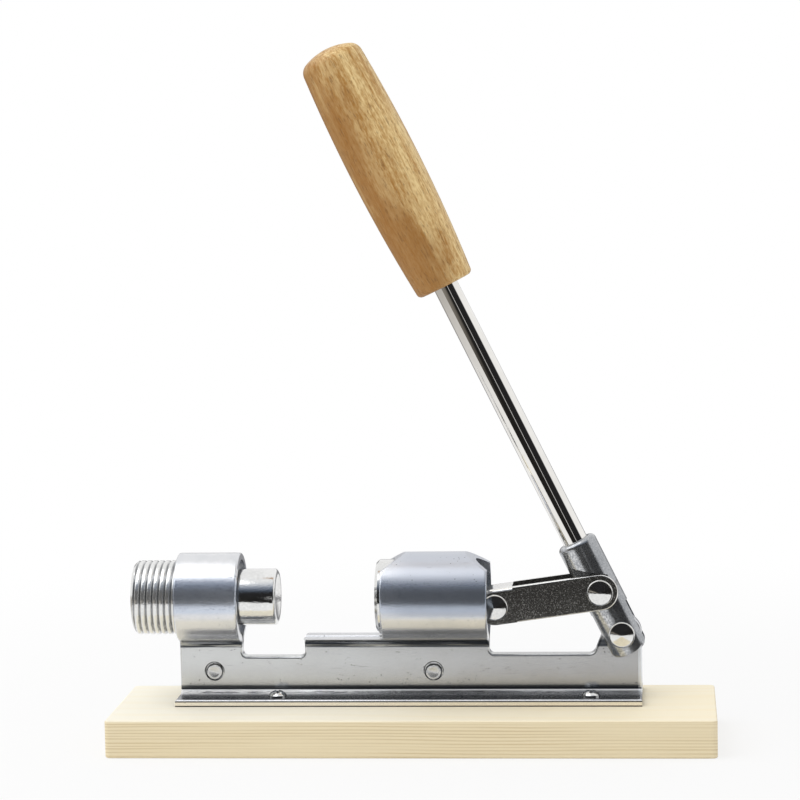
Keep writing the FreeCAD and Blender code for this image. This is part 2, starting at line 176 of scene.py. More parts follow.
# %% [markdown]
# ## One way to start a finish
#
# Every finish here is one Principled shader fed by the place on the object in metres, so a
# scale of 1000 is a pattern a millimetre across. Unwrapped faces would do as well, but a
# solid pattern needs no seams and runs on round every corner. `start` makes the material and
# hands over that place as a flow. `close` sets plain numbers on the shader's own sockets and
# links what changes over the surface. Relief stays far below a millimetre, as plating and
# grain do.


# %% Start and close a finish
def start(name):
    """A new material, and the place on the object as a flow."""
    material = bpy.data.materials.new(name)
    material.use_nodes = True
    shader = Flow(material.node_tree.nodes["Principled BSDF"].outputs[0])
    return material, shader.node("ShaderNodeTexCoord", output="Object")


def close(material, sockets, relief=None):
    """Feed the shader's sockets by name, and add relief given in metres."""
    shader = material.node_tree.nodes["Principled BSDF"]
    for name, value in sockets.items():
        put(value, shader.inputs[name])
    if relief is not None:
        bump = relief.node("ShaderNodeBump", (), {"Height": relief, "Distance": 1.0})
        put(bump, shader.inputs["Normal"])
    print("finish", material.name, "nodes", len(material.node_tree.nodes))
    return material


# %% [markdown]
# ## Pine
#
# The board is planed softwood. Its front edge shows fine, nearly level growth lines a bit over
# a millimetre apart, and its top is a paler sheet with long faint streaks. Stripes could be
# drawn on each face, but they would not meet at the edges. Here every face cuts the same
# rings: thin leaning layers, bent a little by noise that is stretched along X. The sine of
# the layer's height gives soft early wood, and its power gives thin late wood. The numbers in
# `scaled` are patches per metre along X, Y and Z.

# %% The pine finish
board_top = 15.0 * mm
edge_round = 0.7 * mm
ring_spacing = 1.3 * mm
ring_lean = 0.13
sway_depth = 3.4 * mm
uneven_depth = 2.3 * mm
late_sharpness = 3.5
front_pale, front_dark = paint(244, 230, 196), paint(210, 189, 148)
top_pale, top_warm = paint(255, 253, 242), paint(253, 240, 208)


def pine():
    material, place = start("pine")
    x, y, z = place.axes()
    sway = place.scaled(5.0, 20.0, 30.0).noise(1.0, 3.0)
    uneven = place.scaled(1.5, 20.0, 330.0).noise(1.0, 2.0)
    fibre = place.scaled(25.0, 900.0, 900.0).noise(1.0, 3.0, 0.6)
    layer = z + y * ring_lean + (sway - 0.5) * sway_depth + (uneven - 0.5) * uneven_depth
    wave = (layer * (2 * math.pi / ring_spacing)).maths("SINE") * 0.5 + 0.5
    late = wave.maths("POWER", late_sharpness)
    strength = place.scaled(9.0, 45.0, 160.0).noise(1.0, 2.0).step(0.35, 0.65) * 0.85 + 0.15
    front = (late * strength * 0.75 + fibre * 0.3).tint(front_pale, front_dark)
    blotch = place.scaled(16.0, 45.0, 45.0).noise(1.0, 3.0)
    warmer = x.step(*in_mm(-80.0, 60.0)) * 0.45
    top = (late * 0.12 + fibre * 0.25 + blotch * 0.4 + warmer).tint(top_pale, top_warm)
    sockets = {
        "Base Color": z.step(board_top - edge_round, board_top).tint(front, top),
        "Roughness": fibre * 0.15 + 0.5,
        "IOR": 1.45,
        "Specular IOR Level": 0.3,
    }
    return close(material, sockets, fibre * (0.05 * mm) + late * (0.03 * mm))


board_finish = pine()

# %% [markdown]
# ## Turned handle wood
#
# The grip is a golden hardwood, finely mottled, with short dark pores. Its left side, which
# faces down and away from the light, gets painted shade, and it is browner at its lower end.
# The lever leans, so a pattern along Z would cross the grain. The place is therefore turned
# upright about the pivot first. Then streaks are noise squeezed across the handle, and pores
# are dashes: fine noise stretched along it and cut at a level.

# %% The lever's own axes
lean = math.radians(26.0)
pivot = Vector(in_mm(82.9, 10.0, 41.4))


def along_lever(place):
    """The place as if the lever stood upright, and how far across and up from the pivot."""
    values = {"Vector": place, "Center": pivot, "Angle": lean}
    upright = place.node("ShaderNodeVectorRotate", {"rotation_type": "Y_AXIS"}, values)
    across, _, up = upright.axes()
    return upright, across - pivot.x, up - pivot.z


print("pivot", [round(v, 4) for v in pivot], "lean", round(math.degrees(lean), 1))

# %% The handle finish
straw, amber = paint(243, 214, 154), paint(182, 132, 60)
stain_and_shade_brown, pore_brown = paint(156, 104, 40), paint(120, 84, 44)


def handle_wood():
    material, place = start("handle_wood")
    upright, across, up = along_lever(place)
    streak = upright.scaled(380.0, 380.0, 20.0).noise(1.0, 4.0, 0.6)
    mottle = upright.scaled(1400.0, 1400.0, 380.0).noise(1.0, 3.0, 0.6)
    blotch = upright.scaled(90.0, 90.0, 32.0).noise(1.0, 4.0, 0.6)
    pores = upright.scaled(1600.0, 1600.0, 250.0).noise(1.0, 2.0).step(0.60, 0.68)
    gold = (mottle * 0.45 + streak * 0.55).step(0.36, 0.66).tint(straw, amber)
    # Painted shade: the left side is browner because it faces down and away from the light.
    shaded_left_side = across.fall(*in_mm(-14.0, 12.0))
    low_end = up.fall(*in_mm(165.0, 200.0))
    browning_and_shade = blotch * 0.65 + streak * 0.1 + shaded_left_side * 0.34 + low_end * 0.14
    stained_and_shaded = (browning_and_shade.step(0.38, 0.74) * 0.85).tint(gold, stain_and_shade_brown)
    sockets = {
        "Base Color": (pores * 0.45).tint(stained_and_shaded, pore_brown),
        "Roughness": pores * 0.2 + 0.45,
        "IOR": 1.45,
    }
    return close(material, sockets, mottle * (0.03 * mm) - pores * (0.05 * mm))


grip_finish = handle_wood()

# %% [markdown]
# ## Plated steels
#
# The frame is zinc plated and a little hazy. The plug and pins are bright nickel, the rod is
# chrome, the fork is a duller turned bar, and the link is blackened with a glittering grain.
# Seven separate materials would repeat themselves, so they share one recipe: plating differs
# only in colour, in how far it blurs what it mirrors, and in its grain. Grain feeds the
# relief, which breaks up the edges of each reflection. Haze is the share of light that
# plating scatters like paint does. A `detail` adds what only one piece shows.

# %% The steel recipe
cloud_scale = 90.0


def steel(name, light, dark, blur, grain_size, grain_depth=0.0, haze=0.0, detail=None):
    """Metal between two colours, with a roughness and a grain in metres."""
    material, place = start(name)
    clouds = place.noise(cloud_scale, 3.0)
    speckle = place.noise(1 / grain_size, 2.0, 0.6)
    look = SimpleNamespace(
        colour=(clouds * 0.5 + speckle * 0.5).step(0.3, 0.7).tint(dark, light),
        rough=clouds * (0.4 * blur) + 0.8 * blur,
        haze=haze,
        relief=speckle * grain_depth if grain_depth else None,
    )
    if detail is not None:
        detail(place, look)
    sockets = {"Base Color": look.colour, "Roughness": look.rough, "Metallic": 1 - look.haze}
    return close(material, sockets, look.relief)


def stain(look, mask, colour):
    """Lay a colour over a look where the mask is 1."""
    look.colour = mask.tint(look.colour, colour)


print("clouds are about", round(1 / cloud_scale / mm), "mm across")

# %% [markdown]
# ## What the frame's zinc adds
#
# The frame is one folded sheet, and plating alone would make it look cast. What shows the
# folding is some wear, what it mirrors, and the painted reflection, painted shade and painted
# highlights laid into its colour. One long sum could hold all of that, but small functions are
# easier to follow and to change, so each mark gets its own. All of them ask where a place
# lies: along and up the frame, and how far out from the middle of the fold. `between` then
# picks a band of heights.

# %% Places on the stamping
frame_middle = 10.0 * mm
web_half = 2.9 * mm
stamping_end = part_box("frame_stamping")[1].x


def on_stamping(place):
    """Where a place lies on the stamping, and the masks that more than one mark needs."""
    x, y, z = place.axes()
    out = (y - frame_middle).maths("ABSOLUTE")
    web = out.fall(web_half + 0.2 * mm, web_half + 1.4 * mm) * z.fall(*in_mm(38.0, 40.0))
    return SimpleNamespace(
        place=place, x=x, z=z, out=out, web=web,
        right_tube=x.step(*in_mm(-20.0, 0.0)),
        rightwards=x.step(*in_mm(-60.0, 0.0)),
        by_fold=out.fall(*in_mm(5.0, 9.0)),
    )


print("stamping ends at", round(stamping_end / mm, 1), "mm")

# %% [markdown]
# ## Tubes and web
#
# The drawn tubes get a painted reflection half way up: a bluish band where they mirror the
# dark side of the room, with fine dark flecks. The right tube also has a matt crown, whose
# highlight is painted down to grey, and a darker belt of painted reflection. The web is
# duller than the tubes, painted shade darkens it to the right and downwards, and its grain is
# flatter. All of this is in the colour, so it stays in place when the press is turned.

# %% Marks on the tubes and the web
reflection_blue, fleck_grey = paint(190, 205, 228), paint(120, 128, 142)
crown_shade_grey, belt_reflection_grey = paint(196, 200, 209), paint(146, 156, 172)
web_pale, web_shaded = paint(226, 228, 228), paint(178, 178, 178)


def tube_marks(at, look):
    # Painted reflection: a bluish band half way up both tubes, where they mirror the dark side of
    # the room.
    band = at.z.between(*in_mm(51.5, 53.5, 63.0, 69.0)) * at.out.step(*in_mm(8.0, 12.0))
    stain(look, band * 0.5, reflection_blue)
    fleck = at.place.noise(1500.0, 2.0).step(0.54, 0.66) * band * at.z.step(*in_mm(53.5, 55.0))
    stain(look, fleck * 0.5, fleck_grey)
    # Painted shade over the right tube's crown dims its highlight to grey; the crown is also made
    # rougher.
    crown = at.right_tube * at.z.step(*in_mm(62.0, 66.0))
    stain(look, crown * 0.9, crown_shade_grey)
    look.rough = look.rough + crown * 0.12
    # Painted reflection: a darker bluish belt on the right tube.
    belt = at.right_tube * at.z.between(*in_mm(49.5, 52.0, 60.0, 66.0))
    stain(look, belt * 0.6, belt_reflection_grey)


def web_marks(at, look):
    # Painted shade: the web darkens to the right and downwards, over its duller finish.
    along, up = at.x.step(*in_mm(-90.0, 90.0)), at.z.step(*in_mm(25.0, 33.0))
    dull_and_shaded = (along * 0.7 - up * 0.3 + 0.3).tint(web_pale, web_shaded)
    stain(look, at.web * 0.85, dull_and_shaded)
    look.relief = look.relief * (1 - at.web * 0.75)


print("tube and web marks on", nodes["frame_stamping"].name)

# %% [markdown]
# ## Painted shade, pits and the flange's painted highlights
#
# Folds stay darker than the sheet around them, because little light reaches in and they
# mirror the dark side of the room. That is laid into the colour: the streaks of the bend
# under the tubes and the flange's dark strip are painted reflection, and the underside of the
# tubes and the web's foot are painted shade. Fine scuffs of wear share the same grey. Pits
# are cells of a Voronoi pattern, kept only in patches. The flange's fold gets mottled painted
# highlights, its crest a painted highlight, and its cut edge a painted cream reflection of the
# board.

# %% Shades and pits
shade_grey, pit_grey = paint(74, 78, 84), paint(60, 63, 68)
pit_depth = 0.03 * mm


def fold_shades(at, look):
    # Painted reflection: dark and light streaks in the bend under the tubes.
    streaks = at.place.scaled(40.0, 0.0, 1500.0).noise(1.0, 2.0).step(0.42, 0.58)
    bend = at.z.between(*in_mm(35.8, 36.6, 38.6, 39.6)) * at.out.fall(*in_mm(6.0, 8.0))
    # Painted shade under the tubes, stronger under the right one, and along the web's foot.
    under = (at.right_tube * 0.4 + 0.4) * at.z.between(*in_mm(36.0, 36.5, 38.6, 41.2))
    foot = at.z.between(*in_mm(18.9, 19.2, 20.2, 21.2))
    # Painted reflection: the flange's dark strip, where it mirrors the dark side of the room.
    flange = at.z.fall(*in_mm(18.2, 20.5)) * at.out.fall(*in_mm(17.0, 17.7))
    strip = (1 - at.by_fold * (1 - at.rightwards * 0.7)) * flange
    # Scuffs are wear; the rest of this grey is painted shade and painted reflection.
    scuffs = at.place.scaled(110.0, 900.0, 2400.0).noise(1.0, 2.0).step(0.70, 0.76)
    shade = bend * streaks * 0.8 + strip * 0.85 + scuffs * 0.4 + under + foot * 0.9
    stain(look, shade.maths("MINIMUM", 1.0), shade_grey)


def pits(at, look):
    cells = at.place.node("ShaderNodeTexVoronoi", (), {"Vector": at.place, "Scale": 700.0})
    pit = cells.fall(0.10, 0.22) * at.place.noise(160.0, 1.0).step(0.48, 0.66)
    stain(look, pit * 0.7, pit_grey)
    look.relief = look.relief - pit * pit_depth


print("pits are", round(pit_depth / mm, 2), "mm deep")

# %% Glare of the flange
glare_white, board_reflection_cream = paint(252, 252, 252), paint(252, 246, 234)
edge_face = in_mm(18.30, 18.42)


def flange_glare(at, look):
    # Painted highlights: mottled glare on the flange's fold and a bright line on its crest.
    mottle = at.place.scaled(160.0, 1300.0, 1800.0).noise(1.0, 3.0).step(0.44, 0.56)
    crest = at.z.step(*in_mm(18.5, 18.7)) * 0.7
    glare = (mottle * at.by_fold * (0.95 - at.rightwards * 0.8)).maths("MAXIMUM", crest)
    glare = glare * at.z.fall(*in_mm(18.9, 19.1))
    stain(look, glare, glare_white)
    # Painted reflection of the pine board on the flange's cut edge.
    stain(look, at.out.step(*edge_face), board_reflection_cream)
    look.rough = look.rough + glare * 0.3
    look.haze = look.haze + glare * 0.75


print("the cut edge starts", edge_face[0] / mm, "mm from the fold's middle")

# %% [markdown]
# ## Painted shadow lines and a painted highlight
#
# Painted shadows draw a dark line where the flange meets the board, another along the edge of
# its top, and a third on the upper rim of each rivet hole. Gaps and shadows this thin would be
# lost between the pixels, so they are drawn. The sheet's right end, on the other hand, gets a
# painted highlight where it catches the light.

# %% Lines on the stamping
rivet_height = 26.3 * mm
rivet_places = in_mm(-82.0, 7.1)
end_highlight_white, shadow_line_brown = paint(240, 243, 247), paint(42, 38, 34)


def thin_lines(at, look):
    # Painted highlight on the sheet's right end.
    end = at.x.step(stamping_end - 1.7 * mm, stamping_end - 1.5 * mm) * at.web
    stain(look, end * 0.7, end_highlight_white)
    # Painted shadows: the flange's foot on the board, the edge of its top, and the upper rim of
    # each rivet hole.
    line = at.z.fall(board_top + 0.35 * mm, board_top + 0.6 * mm)
    top_edge_shadow = at.z.between(*in_mm(16.75, 16.90, 17.05, 17.20)) * at.out.step(*in_mm(18.0, 18.2))
    line = line + top_edge_shadow
    for centre in rivet_places:
        dx, dz = at.x - centre, at.z - rivet_height
        away = (dx * dx + dz * dz).maths("SQRT")
        line = line + away.between(*in_mm(3.7, 3.8, 4.0, 4.2)) * dz.step(*in_mm(-2.0, 1.5))
    stain(look, line.maths("MINIMUM", 1.0), shadow_line_brown)


def stamped(place, look):
    """All that the stamping shows besides its plating, one mark over the other."""
    at = on_stamping(place)
    for mark in (tube_marks, web_marks, fold_shades, pits, flange_glare, thin_lines):
        mark(at, look)


print("rivet rims at", [round(centre / mm, 1) for centre in rivet_places], "mm")

# %% [markdown]
# ## What the link and the fork add
#
# The link's plates are black and sparkle, but their cut edges are bright. Two materials on
# one piece would need its faces sorted, so the colour asks instead which way the surface
# faces on the link itself. The fork was turned from a round bar, and its pressed cheeks still
# swell a little. That is too little for the outline, so its relief adds the swell across the
# lever. Light speckled wear covers it, and a painted highlight lies on its left.

# %% Details of the link
link_edge = paint(240, 239, 236)
link_black, link_glint = paint(100, 99, 96), paint(236, 235, 232)


def blackened(place, look):
    facing = place.node("ShaderNodeTexCoord", output="Normal")
    flat = facing.axes()[1].maths("ABSOLUTE").step(0.92, 0.995)
    glint = place.noise(2100.0, 2.0).step(0.51, 0.71) * 0.65
    look.colour = flat.tint(link_edge, glint.tint(link_black, link_glint))


print("link black", [round(v, 3) for v in link_black[:3]])

# %% Details of the fork
crank_length = 19.3 * mm
cheek_radius = 8.6 * mm
cheek_half = 5.8 * mm
wear_and_highlight_grey = paint(226, 227, 228)


def swollen(place, look):
    _, across, up = along_lever(place)
    inside = cheek_radius ** 2 - across * across
    swell = inside.maths("MAXIMUM", cheek_radius ** 2 - cheek_half ** 2).maths("SQRT")
    cheek = up.fall(crank_length - 1.0 * mm, crank_length + 1.0 * mm)
    # Painted highlight on the fork's left, over light speckled wear all over it.
    highlight_patch = across.between(*in_mm(-6.5, -5.0, -2.5, 0.0))
    wear_and_highlight = place.noise(1400.0, 3.0, 0.6).step(0.42, 0.66) * (highlight_patch * 0.6 + 0.2)
    stain(look, wear_and_highlight, wear_and_highlight_grey)
    look.relief = look.relief + (swell - cheek_radius) * cheek


swell_height = cheek_radius - math.sqrt(cheek_radius ** 2 - cheek_half ** 2)
print("the cheeks swell by", round(swell_height / mm, 2), "mm")

# %% [markdown]
# ## What the plug adds
#
# The thread's grooves are darker in colour than its crests. The colour could follow the
# height of the mesh, but the same phase that cuts the groove later also gives its valley
# here, wherever the plug stands.

# %% Details of the plug
tube_axis = Vector(in_mm(0.0, 10.0, 56.4))
plug_low, plug_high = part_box("adjusting_anvil")
plug_body = 40.0 * mm
thread_pitch = 2.5 * mm
nose_start = plug_low.x + plug_body
groove_grey = paint(104, 108, 114)


def threaded(place, look):
    x, y, z = place.axes()
    turn = (z - tube_axis.z).maths("ARCTAN2", tube_axis.y - y)
    phase = (x - plug_low.x) * (2 * math.pi / thread_pitch) - turn
    valley = (0.5 - 0.5 * phase.maths("COSINE")).maths("POWER", 4.0)
    body = x.fall(nose_start - 1.0 * mm, nose_start)
    stain(look, valley * body * 0.6, groove_grey)
    look.haze = look.haze + body * 0.16


print("the thread ends at", round(nose_start / mm, 1), "mm")

# %% [markdown]
# ## Seven steels
#
# The recipe now mixes each plating. Blur runs from the chrome of the rod, which is nearly a
# mirror, to the zinc and the turned rivets. Colours are light greys that differ by a few
# steps, because a steel's darkness comes from the room that it mirrors. Only the fork and the
# link are darker themselves.

# %% Mix the steels
zinc = steel(
    "zinc_steel", paint(231, 231, 233), paint(212, 214, 218), blur=0.22,
    grain_size=0.5 * mm, grain_depth=0.035 * mm, haze=0.17, detail=stamped,
)
nickel = steel(
    "bright_steel", paint(236, 236, 234), paint(218, 218, 217), blur=0.10,
    grain_size=0.8 * mm, grain_depth=0.02 * mm,
)
plug_steel = steel(
    "plug_nickel", paint(238, 238, 237), paint(222, 222, 221), blur=0.09,
    grain_size=0.8 * mm, grain_depth=0.05 * mm, detail=threaded,
)
turned = steel(
    "turned_steel", paint(232, 233, 234), paint(200, 202, 205), blur=0.22,
    grain_size=0.5 * mm, grain_depth=0.02 * mm, haze=0.25,
)
chrome = steel(
    "chrome", paint(238, 236, 232), paint(230, 228, 224), blur=0.03, grain_size=2.0 * mm,
)
fork_steel = steel(
    "fork_steel", paint(182, 184, 187), paint(140, 143, 147), blur=0.18,
    grain_size=0.6 * mm, grain_depth=0.025 * mm, haze=0.1, detail=swollen,
)
link_steel = steel(
    "dark_steel", paint(150, 149, 146), paint(96, 95, 92), blur=0.16,
    grain_size=0.5 * mm, grain_depth=0.03 * mm, haze=0.20, detail=blackened,
)

# %% [markdown]
# ## Dressing the CAD nodes
#
# Seven pieces already have their right shape in the CAD: the board, the stamping, the
# plunger, the link, and the lever's fork, rod and handle. They could be copied, but a node
# may take a finish of its own, so each one's slots are emptied and filled with one finish.

# %% Dress the CAD nodes
finishes = {
    "base_board": board_finish,
    "wood_handle": grip_finish,
    "frame_stamping": zinc,
    "crushing_plunger": nickel,
    "link_channel": link_steel,
    "lever_fork": fork_steel,
    "lever_rod": chrome,
}
for name, finish in finishes.items():
    data = nodes[name].data
    data.materials.clear()
    data.materials.append(finish)
    for face in data.polygons:
        face.material_index = 0
print("dressed", len(finishes), "nodes")

# %% [markdown]
# ## Turned pieces
#
# The thread, the rivets, the screws and the pins are all round. Blender can spin a profile,
# but a spun profile cannot hold a helix or a dimple. So one helper lathes them all: it walks
# along the piece, walks round it, and asks a rule for the point at each spot.


# %% Lathe helpers
def piece_from(name, build, finish):
    """Object from a bmesh that build fills, shaded smooth, with sharp edges kept sharp."""
    mesh = bpy.data.meshes.new(name)
    shape = bmesh.new()
    build(shape)
    bmesh.ops.recalc_face_normals(shape, faces=shape.faces)
    shape.to_mesh(mesh)
    shape.free()
    mesh.materials.append(finish)
    mesh.shade_smooth()
    mesh.set_sharp_from_angle(angle=math.radians(35.0))
    made = bpy.data.objects.new(name, mesh)
    bpy.context.scene.collection.objects.link(made)
    print("piece", name, "faces", len(mesh.polygons))
    return made


def lathe(shape, stations, around, spot):
    """Rings of points joined by faces, closed at both ends. spot(i, angle) gives each point."""
    rings = []
    for i in range(stations):
        angles = [2 * math.pi * k / around for k in range(around)]
        rings.append([shape.verts.new(spot(i, angle)) for angle in angles])
    for low, high in zip(rings, rings[1:]):
        for k in range(around):
            after = (k + 1) % around
            shape.faces.new((low[k], low[after], high[after], high[k]))
    shape.faces.new(rings[0])
    shape.faces.new(rings[-1])


def held(value, low=0.0, high=1.0):
    """The value, kept between two limits."""
    return min(max(value, low), high)


print("lathe is ready")

# %% [markdown]
# ## The threaded plug
#
# The plug screws through the left tube to set the gap between the jaws. Seven turns of its
# thread stand out on the left, two and a half millimetres apart. A thread could be cut by a
# twisted cutter, but that leaves ragged faces. Here the radius falls into the groove by a
# rounded wave whose phase moves on by one pitch for each turn, which makes a true helix
# without any twisting or cutting.

# %% Measures of the plug
plug_radius = (plug_high.z - plug_low.z) / 2
plug_length = plug_high.x - plug_low.x
plug_chamfer = 1.4 * mm
thread_depth = 0.75 * mm
groove_width = 4.0
steps_per_turn = 12
nose_radius = 11.4 * mm
nose_chamfer = 1.0 * mm
cup_radius = 8.8 * mm
cup_depth = 3.0 * mm
print("plug", round(plug_length / mm, 1), "mm long, radius", round(plug_radius / mm, 2))


# %% Make the plug
def thread_radius(x, angle):
    """Radius of the threaded body at a distance from its left end."""
    share = ((x - thread_pitch * angle / (2 * math.pi)) / thread_pitch) % 1.0
    groove = (0.5 - 0.5 * math.cos(2 * math.pi * share)) ** groove_width
    crest = plug_radius - thread_depth * groove
    edge = min(x, plug_body - x)
    return min(crest, plug_radius - plug_chamfer + edge)


def plug_outline():
    """Distances along the plug with their radius, or None where the thread gives it."""
    step = thread_pitch / steps_per_turn
    left_end = [(0.0, 2.0 * mm), (0.0, plug_radius - plug_chamfer - 0.5 * mm)]
    body = [(i * step, None) for i in range(int(plug_body / step) + 1)]
    nose = [
        (plug_body, nose_radius + 0.4 * mm),
        (plug_body + 0.4 * mm, nose_radius),
        (plug_length - nose_chamfer, nose_radius),
        (plug_length - 0.7 * nose_chamfer, nose_radius - 0.12 * mm),
        (plug_length - 0.3 * nose_chamfer, nose_radius - 0.5 * mm),
        (plug_length, nose_radius - nose_chamfer),
    ]
    cup = [
        (plug_length, cup_radius + 0.3 * mm),
        (plug_length - 0.2 * mm, cup_radius),
        (plug_length - cup_depth, 0.5 * mm),
    ]
    return left_end + body + nose + cup


def build_plug(shape):
    line = plug_outline()

    def spot(i, angle):
        x, radius = line[i]
        r = thread_radius(x, angle) if radius is None else radius
        y, z = tube_axis.y - r * math.cos(angle), tube_axis.z + r * math.sin(angle)
        return (plug_low.x + x, y, z)

    lathe(shape, len(line), 96, spot)


plug = piece_from("threaded_plug", build_plug, plug_steel)
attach(plug, "anvil")
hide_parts("adjusting_anvil")

# %% [markdown]
# ## Screws
#
# Four pan-head wood screws hold the flanges down. Each head is a low dome with a cross-shaped
# recess. A boolean could cut the cross, but it breaks the smooth shading of the dome. So the
# recess is sunk into a fine polar grid: a point inside one of the four arms goes down, and
# the walls slope as the driver's do.

# %% Measures of a screw
head_radius = 3.65 * mm
head_height = 2.4 * mm
rim_height = 0.6 * mm
shank_radius = 2.0 * mm
shank_length = 12.0 * mm
point_length = 3.0 * mm
arm_half = 0.45 * mm
arm_reach = 2.5 * mm
arm_side_slope = 0.15 * mm
arm_end_slope = 0.4 * mm
recess_depth = 1.5 * mm
print("screw head", round(2 * head_radius / mm, 1), "mm across")


# %% Make the screws
def dome(radius, rim, crown, distance):
    """Height of a spherical cap at a distance from its middle."""
    rise = crown - rim
    ball = (radius ** 2 + rise ** 2) / (2 * rise)
    return crown - ball + math.sqrt(max(ball ** 2 - distance ** 2, 0.0))


def recess(x, y):
    """Share of the recess's depth at a place on the head."""
    across = min(abs(x), abs(y))
    along = max(abs(x), abs(y))
    side = 1 - held((across - arm_half) / arm_side_slope)
    end = held((arm_reach - along) / arm_end_slope)
    return side * end


def build_screw(shape):
    rings = 44
    outline = [
        (0.2 * mm, -shank_length), (shank_radius, point_length - shank_length),
        (shank_radius, 0.0), (head_radius, 0.0), (head_radius, rim_height),
    ]

    def spot(i, angle):
        if i < len(outline):
            r, z = outline[i]
            return (r * math.cos(angle), r * math.sin(angle), z)
        r = head_radius * (1 - (i - len(outline) + 1) / (rings + 1))
        x, y = r * math.cos(angle), r * math.sin(angle)
        z = dome(head_radius, rim_height, head_height, r) - recess_depth * recess(x, y)
        return (x, y, z)

    lathe(shape, len(outline) + rings, 112, spot)


screw_turns = {"front_left": 12.0, "front_right": 2.0, "rear_left": 71.0, "rear_right": 25.0}
for place_name, turn in screw_turns.items():
    node = "base_screw_" + place_name
    low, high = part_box(node)
    screw = piece_from("screw_" + place_name, build_screw, nickel)
    seat = Vector(((low.x + high.x) / 2, (low.y + high.y) / 2, high.z - head_height))
    screw.data.transform(Matrix.Translation(seat) @ Matrix.Rotation(math.radians(turn), 4, "Z"))
    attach(screw, "frame")
    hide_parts(node)

# %% [markdown]
# ## Rivets
#
# Two rivets close the folded sheet. Each sits in its hole a little below the surface. Its end
# was spread by a punch, which leaves a flat disc with a shallow, uneven dimple, and a narrow
# gap around the disc that stays dark. A sculpted end would look as good, but a rule for the
# height at each place is shorter and gives the same end on every run.

# %% Measures of a rivet
rivet_radius = 3.75 * mm
disc_radius = 3.05 * mm
disc_slope = 0.25 * mm
dimple_radius = 2.2 * mm
dimple_depth = 0.16 * mm
dimple_shift = 0.15 * mm
gap_depth = 1.6 * mm
lump_height = 0.03 * mm
lump_width, lump_rise = in_mm(0.75, 0.9)
rivet_drops = {"left": 0.35 * mm, "right": 0.6 * mm}
print("rivet gap", round((rivet_radius - disc_radius) / mm, 2), "mm wide")


# %% Make the rivets
def rivet_face(x, z, drop):
    """Height of a rivet's end at a place on it, where drop is how low its dimple sits."""
    distance = math.hypot(x + dimple_shift, z + drop)
    angle = math.atan2(z, x)
    wobble = 1 + 0.05 * math.sin(2 * angle + 0.6) + 0.02 * math.sin(3 * angle)
    dimple = max(1 - (distance / (dimple_radius * wobble)) ** 2, 0.0)
    fall = held((distance - disc_radius * wobble ** 0.5) / disc_slope)
    wave = math.sin((x + 0.6 * z) / lump_width + 1.0) * math.sin((z - 0.5 * x) / lump_rise)
    return lump_height * wave - dimple_depth * dimple - gap_depth * fall


def rivet_builder(half, drop):
    rings = 26

    def build(shape):
        def spot(i, angle):
            side = -1 if i < rings else 1
            share = (i + 1) / rings if i < rings else (2 * rings - i) / rings
            x = rivet_radius * share * math.cos(angle)
            z = rivet_radius * share * math.sin(angle)
            return (x, side * (half + rivet_face(x, z, drop)), z)

        lathe(shape, 2 * rings, 72, spot)

    return build


for side, drop in rivet_drops.items():
    node = "web_rivet_" + side
    low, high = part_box(node)
    build_rivet = rivet_builder((high.y - low.y) / 2, drop)
    rivet = piece_from("staked_rivet_" + side, build_rivet, turned)
    rivet.data.transform(Matrix.Translation((low + high) / 2))
    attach(rivet, "frame")
    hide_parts(node)

# %% [markdown]
# ## Pins
#
# Three headed pins carry the linkage. Each head is turned as a very flat cone inside a thin
# raised rim. A plain disc would mirror one thing only. The cone is what splits its
# reflection: the upper half looks at the dark side of the room and the lower half at the
# table. Half of the outline is listed, from the middle of the head to the middle of the pin,
# and the other half mirrors it.

# %% Make the pins
pin_radius = 3.0 * mm
pin_head = 5.25 * mm
pin_crown = 2.0 * mm
# Radius and drop below the head's middle, in millimetres: cone, groove, rim, and edge.
head_steps = [
    (0.15, 0.0), (0.5, 0.06), (0.9, 0.17), (4.5, 1.20), (4.75, 1.27),
    (4.88, 1.24), (4.98, 1.08), (5.10, 1.06), (5.20, 1.14), (5.25, 1.28),
]


def pin_builder(half):
    seat = half - pin_crown
    outline = [(radius * mm, half - drop * mm) for radius, drop in head_steps]
    outline += [(pin_head, seat + 0.2 * mm), (pin_head - 0.2 * mm, seat), (pin_radius, seat)]
    line = [(r, -out) for r, out in outline] + [(r, out) for r, out in reversed(outline)]

    def build(shape):
        def spot(i, angle):
            r, out = line[i]
            return (r * math.cos(angle), out, r * math.sin(angle))

        lathe(shape, len(line), 96, spot)

    return build


for node, body in {"plunger_pin": "plunger", "lever_pin": "lever", "pivot_pin": "frame"}.items():
    low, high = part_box(node)
    pin = piece_from("turned_" + node, pin_builder((high.y - low.y) / 2), nickel)
    pin.data.transform(Matrix.Translation((low + high) / 2))
    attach(pin, body)
    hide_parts(node)

# %% [markdown]
# ## The room in the mirrors
#
# Polished metal shows its surroundings, so the room matters more than the lamps. A picture of
# a real room would do, but it could not be tuned. Here the room is a sum of bearings and
# heights. The tubes mirror white above, white below and one dark band between: the white
# table ends a short way in front of the press, and behind the viewer the room is unlit up to
# a white ceiling. The dark side fades in slowly on the left and ends quickly on the right.
# Seen sideways, it draws the stripe on the rod and makes the link black. A thin grey wall
# behind the press draws the dark outlines. Table and room share these bearings.

# %% Bearings
white = (1.0, 1.0, 1.0, 1.0)
unlit = (0.016, 0.015, 0.014, 1.0)
grey = (0.28, 0.28, 0.29, 1.0)
warm_grey = (0.36, 0.33, 0.29, 1.0)
dark_side = [math.radians(degrees) for degrees in (-108.0, -64.0, 65.0, 74.0)]


def bearing_of(x, y):
    """The direction of a place or a ray: 0 towards the viewer, positive to the right."""
    return x.maths("ARCTAN2", y * -1.0)


print("the dark side spans", round(math.degrees(dark_side[2] - dark_side[1])), "degrees")

